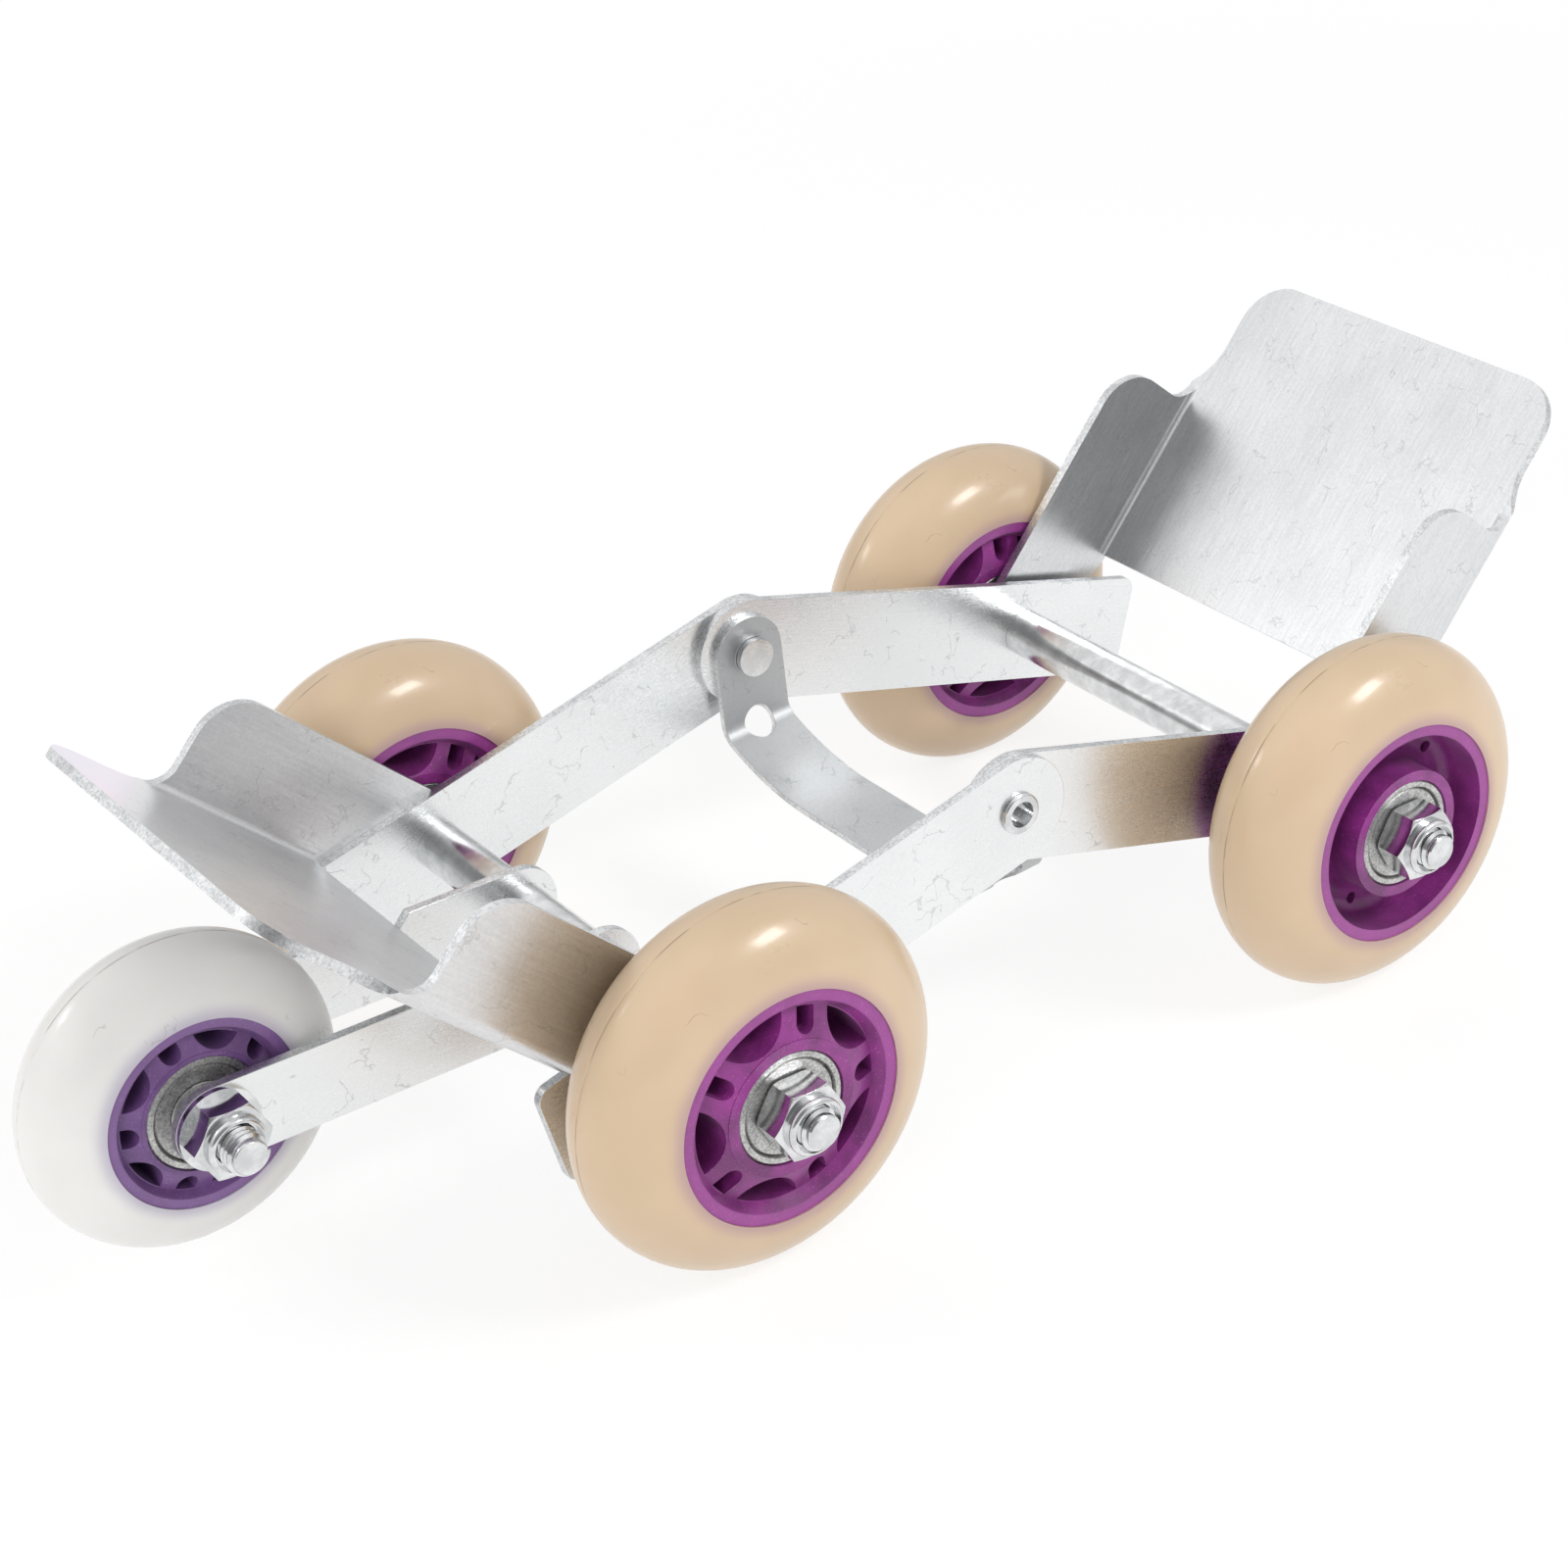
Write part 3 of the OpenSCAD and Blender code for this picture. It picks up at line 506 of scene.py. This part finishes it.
def bearings(wheel, centre, face):
    """Both bearings of a wheel: rings and shields turn with it, the cores stay on the axle."""
    races, shields, cores = [
        joined(*[bearing_ring(line, centre, face, side) for side in (-1, 1)])
        for line in (RACE_LINE, SHIELD_LINE, CORE_LINE)]
    for piece in shields.faces:
        piece.material_index = 1
    node, core_node = wheel + "_bearings", wheel + "_inner_rings"
    finished(joined(races, shields), wheel + "_bearing_rings", body_of(node),
             [RACE, SHIELD], [node])
    finished(cores, wheel + "_bearing_cores", body_of(core_node),
             RACE, [core_node])


THREAD_R, THREAD_DEPTH, PITCH, CHAMFER = 3.97 * MM, 0.62 * MM, 1.25 * MM, 0.9 * MM
# The ridge's half width at its foot and at its top, as parts of the pitch
FOOT, TOP = 0.46, 0.08
THREAD_STEPS, ROD_STEPS = 32, 48
AXIS_R = 1e-6
AXLE_THREAD, BOLT_THREAD = 11 * MM, 14 * MM
HEAD_H = 5.3 * MM


def ridge(start, turns):
    """A helical thread ridge round the axle's direction, its foot a little below the core."""
    mesh = bmesh.new()
    foot_r = THREAD_R - 1.05 * THREAD_DEPTH
    shape = [(foot_r, -FOOT), (THREAD_R, -TOP), (THREAD_R, TOP), (foot_r, FOOT)]
    points = [mesh.verts.new((r, start + share * PITCH, 0)) for r, share in shape]
    for first, second in zip(points, points[1:] + points[:1]):
        mesh.edges.new((first, second))
    ends = [mesh.edges[:]]
    made = bmesh.ops.spin(mesh, geom=mesh.verts[:] + mesh.edges[:], cent=(0, 0, 0), axis=(0, 1, 0),
                          dvec=(0, PITCH / THREAD_STEPS, 0), angle=2 * pi * turns,
                          steps=THREAD_STEPS * turns, use_duplicate=False)
    ends.append([g for g in made["geom_last"] if isinstance(g, bmesh.types.BMEdge)])
    for loop in ends:
        bmesh.ops.edgeloop_fill(mesh, edges=loop)
    bmesh.ops.recalc_face_normals(mesh, faces=mesh.faces)
    return mesh


def threaded_rod(low, high, threads):
    """A rod between two widths, with thread from each width in threads to the tip beside it."""
    core_r = THREAD_R - THREAD_DEPTH
    start, end = threads
    line = Outline(AXIS_R, low)
    if start is None:
        line.to((THREAD_R, low))
    else:
        line.to((THREAD_R - CHAMFER, low), (core_r, low + CHAMFER - THREAD_DEPTH))
        line.to((core_r, start), (THREAD_R, start + THREAD_DEPTH))
    if end is None:
        line.to((THREAD_R, high))
    else:
        line.to((THREAD_R, end - THREAD_DEPTH), (core_r, end))
        line.to((core_r, high - CHAMFER + THREAD_DEPTH), (THREAD_R - CHAMFER, high))
    line.to((AXIS_R, high))
    parts = [line.turned((0, 0, 0), ROD_STEPS)]
    for first, last in ((low, start), (end, high)):
        if first is not None and last is not None:
            turns = int((last - first - 0.9 * PITCH) / PITCH)
            begin = first + 0.7 * PITCH if first == low else last - (turns + 0.7) * PITCH
            parts.append(ridge(begin, turns))
    return joined(*parts)


def axle(node, centre):
    """A main axle, threaded at both ends."""
    low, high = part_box(node)
    half = (high.y - low.y) / 2
    mesh = threaded_rod(-half, half, (-half + AXLE_THREAD, half - AXLE_THREAD))
    bmesh.ops.translate(mesh, verts=mesh.verts, vec=centre)
    return finished(mesh, node + "_rod", body_of(node), FASTENER, [node], crease=30.0)


def fifth_bolt(centre):
    """The hexagon head from the solid, on a rod threaded at its other end."""
    low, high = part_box("fifth_bolt")
    head_at = high.y - HEAD_H
    head = whole("fifth_bolt")
    bmesh.ops.bisect_plane(head, geom=head.verts[:] + head.edges[:] + head.faces[:],
                           plane_co=(0, head_at, 0), plane_no=(0, 1, 0), clear_inner=True)
    bmesh.ops.holes_fill(head, edges=[e for e in head.edges if e.is_boundary])
    bmesh.ops.recalc_face_normals(head, faces=head.faces)
    ease(head, HEAD_EASE, NUT_CREASE)
    rod = threaded_rod(low.y, head_at + 0.5 * MM, (low.y + BOLT_THREAD, None))
    bmesh.ops.translate(rod, verts=rod.verts, vec=(centre.x, 0, centre.z))
    return finished(joined(head, rod), "fifth_bolt_plated", body_of("fifth_bolt"),
                    FASTENER, ["fifth_bolt"], crease=30.0)


# Sizes: a tyre's outside radius, half width, crown radius and hub radius. Colours: the tyre's
# body, shade and stain beside the hub; the hub's bright and deep tone
MAIN_WHEEL = {
    "tyre": "tan_tyre", "hub": "magenta_hub",
    "sizes": (36 * MM, 12.4 * MM, 10.6 * MM, 22.5 * MM),
    "lip_r": 20.4 * MM, "bearing_face": 11.8 * MM,
    "tyre_colours": ((0.76, 0.575, 0.39), (0.70, 0.525, 0.35), (0.46, 0.27, 0.33)),
    "hub_colours": ((0.32, 0.034, 0.28), (0.165, 0.017, 0.145)),
}
FIFTH_WHEEL = {
    "tyre": "milky_tyre", "hub": "violet_hub",
    "sizes": (30 * MM, 10.5 * MM, 8.8 * MM, 18.3 * MM),
    "lip_r": 16.6 * MM, "bearing_face": 10.0 * MM,
    "tyre_colours": ((0.90, 0.89, 0.865), (0.85, 0.84, 0.82), (0.44, 0.38, 0.54)),
    "hub_colours": ((0.20, 0.09, 0.285), (0.14, 0.06, 0.21)),
}

for wheel in ("near_front", "far_front", "near_rear", "far_rear", "fifth"):
    kind, ending = (FIFTH_WHEEL, "") if wheel == "fifth" else (MAIN_WHEEL, "_" + wheel)
    centre = middle(wheel + "_tyre")
    casting = cast_tyre(kind["tyre"] + ending, centre, kind["sizes"][-1], *kind["tyre_colours"])
    tyre(wheel, centre, *kind["sizes"], casting)
    bearings(wheel, centre, kind["bearing_face"])
    pearl = pearl_hub(kind["hub"] + ending, centre, kind["lip_r"], *kind["hub_colours"])
    eased(wheel + "_hub", wheel + "_hub_moulding", pearl, HUB_EASE)
    eased(wheel + "_bearing_spacer", wheel + "_spacer_tube", TUBE, SPACER_EASE)

for node in ("front_bar_near", "front_bar_far", "rear_bar_near", "rear_bar_far", "fork_arm_near",
             "fork_arm_far", "front_cradle", "rear_cradle", "strap"):
    zinc = ZINC[node.removesuffix("_near").removesuffix("_far")]
    eased(node, node + "_plate", [zinc, SHEARED], PLATE_EASE, crease=PLATE_CREASE,
          sheet=STRAP_SHEET if node == "strap" else SHEET)

for node in ("hinge_rivets", "front_axle_nuts", "rear_axle_nuts", "front_axle_washers",
             "rear_axle_washers", "rear_shims", "fifth_nut", "fifth_spacers"):
    eased(node, node + "_plated", FASTENER, NUT_EASE, crease=NUT_CREASE)
for node in ("front_inner_tube", "front_outer_tubes", "rear_tube"):
    eased(node, node + "_plated", TUBE, TUBE_EASE)
axle("front_axle", FRONT_AXLE)
axle("rear_axle", REAR_AXLE)
fifth_bolt(FIFTH_AXLE)

FLOOR_SIZE, FLOOR_WHITE = 6.0, 0.90
# A part of what is seen of the floor is a white glow, and all of it is from WHITE_START on
GLOW, GLOW_SHARE = 1.13, 0.7
SHADE_END, WHITE_START = 0.45, 1.6


def pale_floor():
    """A matt floor that keeps the shadow and turns white away from the skate."""
    mesh = bmesh.new()
    bmesh.ops.create_grid(mesh, x_segments=1, y_segments=1, size=FLOOR_SIZE)
    data = bpy.data.meshes.new("floor")
    mesh.to_mesh(data)
    mesh.free()
    floor = bpy.data.objects.new("floor", data)
    scene.collection.objects.link(floor)
    f = Finish("pale_floor")
    camera_ray = f.node("ShaderNodeLightPath", output="Is Camera Ray")
    glossy_ray, through_ray = f.beside(camera_ray, "Is Glossy Ray", "Is Transmission Ray")
    x, y, z = f.parts(f.place())
    away = f.steps((x * x + y * y) ** 0.5, SHADE_END, WHITE_START)
    share = (camera_ray + glossy_ray + through_ray) * GLOW_SHARE
    share = share + camera_ray * away * (1 - GLOW_SHARE)
    diffuse = f.node("ShaderNodeBsdfDiffuse", {}, {"Color": (FLOOR_WHITE,) * 3})
    glow = f.node("ShaderNodeEmission", {}, {"Color": (1, 1, 1), "Strength": GLOW})
    mix = f.node("ShaderNodeMixShader", {}, {0: share, 1: diffuse, 2: glow})
    f.feed(f.tree.nodes["Material Output"].inputs["Surface"], mix)
    data.materials.append(f.material)


# The air's light at the horizon and overhead, its level at the horizon as metal mirrors it, and
# how high a direction points from where on it counts as overhead
AIR_LOW, AIR_HIGH, HORIZON, AIR_TOP = 1.12, 0.42, 0.66, 0.65
# The dark side that metal mirrors: its direction, where it begins and ends, and how dark it is
DARK_SIDE = (-0.565, -0.72, 0.40)
DARK_EDGES, DARKNESS = (0.70, 0.93), 0.72


def studio_air():
    """White all round to the camera; to bright metal, greyer low down and dark on one side."""
    world = bpy.data.worlds.new("studio")
    scene.world = world
    world.use_nodes = True
    air = Nodes(world.node_tree)
    camera_ray = air.node("ShaderNodeLightPath", output="Is Camera Ray")
    glossy_ray, through_ray = air.beside(camera_ray, "Is Glossy Ray", "Is Transmission Ray")
    way = air.node("ShaderNodeTexCoord", output="Generated")
    rise = air.steps(air.parts(way)[2], 0.0, AIR_TOP)
    towards = air.node("ShaderNodeVectorMath", {"operation": "DOT_PRODUCT"},
                       {0: way, 1: DARK_SIDE}, 1)
    plain = AIR_LOW - rise * (AIR_LOW - AIR_HIGH)
    dark = air.steps(towards, *DARK_EDGES) * DARKNESS
    mirrored = (HORIZON + rise * (1 - HORIZON)) * (1 - dark)
    seen = camera_ray + through_ray
    level = seen + glossy_ray * mirrored + (1 - seen - glossy_ray) * plain
    backdrop = air.tree.nodes["Background"]
    air.feed(backdrop.inputs["Color"], (1, 1, 1))
    air.feed(backdrop.inputs["Strength"], level)


# Name, place, the point it faces, size, power, and whether metal and lacquer mirror it
LAMPS = [
    ("key", (0.38, -0.56, 0.70), (0, 0, 0.04), (0.26, 0.17), 2.3, True),
    ("window", (-0.75, 0.55, 0.65), (0, 0, 0.04), (0.26, 0.13), 0.9, True),
    ("back", (-0.1, 0.8, 0.7), (0, 0, 0.05), (0.9, 0.4), 1.0, False),
    ("left", (-1.6, -0.9, 0.8), (0, 0, 0.05), (0.9, 0.9), 10.0, False),
]


def softbox(name, place, target, size, power, mirrored):
    """A rectangular lamp that faces its target."""
    light = bpy.data.lights.new(name, "AREA")
    light.shape = "RECTANGLE"
    light.size, light.size_y = size
    light.energy = power
    lamp = bpy.data.objects.new(name, light)
    scene.collection.objects.link(lamp)
    lamp.visible_glossy = mirrored
    lamp.location = place
    lamp.rotation_euler = (Vector(target) - Vector(place)).to_track_quat("-Z", "Y").to_euler()


# The camera as solved from the photo: angles in degrees, and lengths in metres
CAMERA_ANGLES = (-34.758, 28.930, -2.643)
CAMERA_DISTANCE, TARGET_PAST_AXLE, TARGET_HEIGHT = 0.644925, 0.052242, 0.049473
FOCAL_PIXELS, PHOTO_PIXELS, SENSOR = 3431.58, 1600, 36.0


def camera():
    """Looks from the photo's azimuth, elevation and roll."""
    azimuth, elevation, roll = (radians(v) for v in CAMERA_ANGLES)
    target = Vector((FRONT_AXLE.x + TARGET_PAST_AXLE, 0, TARGET_HEIGHT))
    back = Vector((sin(azimuth) * cos(elevation), -cos(azimuth) * cos(elevation), sin(elevation)))
    level = Vector((cos(azimuth), sin(azimuth), 0))
    rise = back.cross(level)
    right = level * cos(roll) + rise * sin(roll)
    up = -level * sin(roll) + rise * cos(roll)
    lens = bpy.data.cameras.new("photo_camera")
    lens.sensor_width, lens.sensor_fit = SENSOR, "HORIZONTAL"
    lens.lens = FOCAL_PIXELS / PHOTO_PIXELS * SENSOR
    lens.clip_start, lens.clip_end = 0.02, 20.0
    eye = bpy.data.objects.new("photo_camera", lens)
    scene.collection.objects.link(eye)
    turn = Matrix((right, up, back)).transposed()
    eye.matrix_world = Matrix.Translation(target + back * CAMERA_DISTANCE) @ turn.to_4x4()
    scene.camera = eye


pale_floor()
studio_air()
for lamp in LAMPS:
    softbox(*lamp)
camera()
scene.view_settings.view_transform = "Standard"
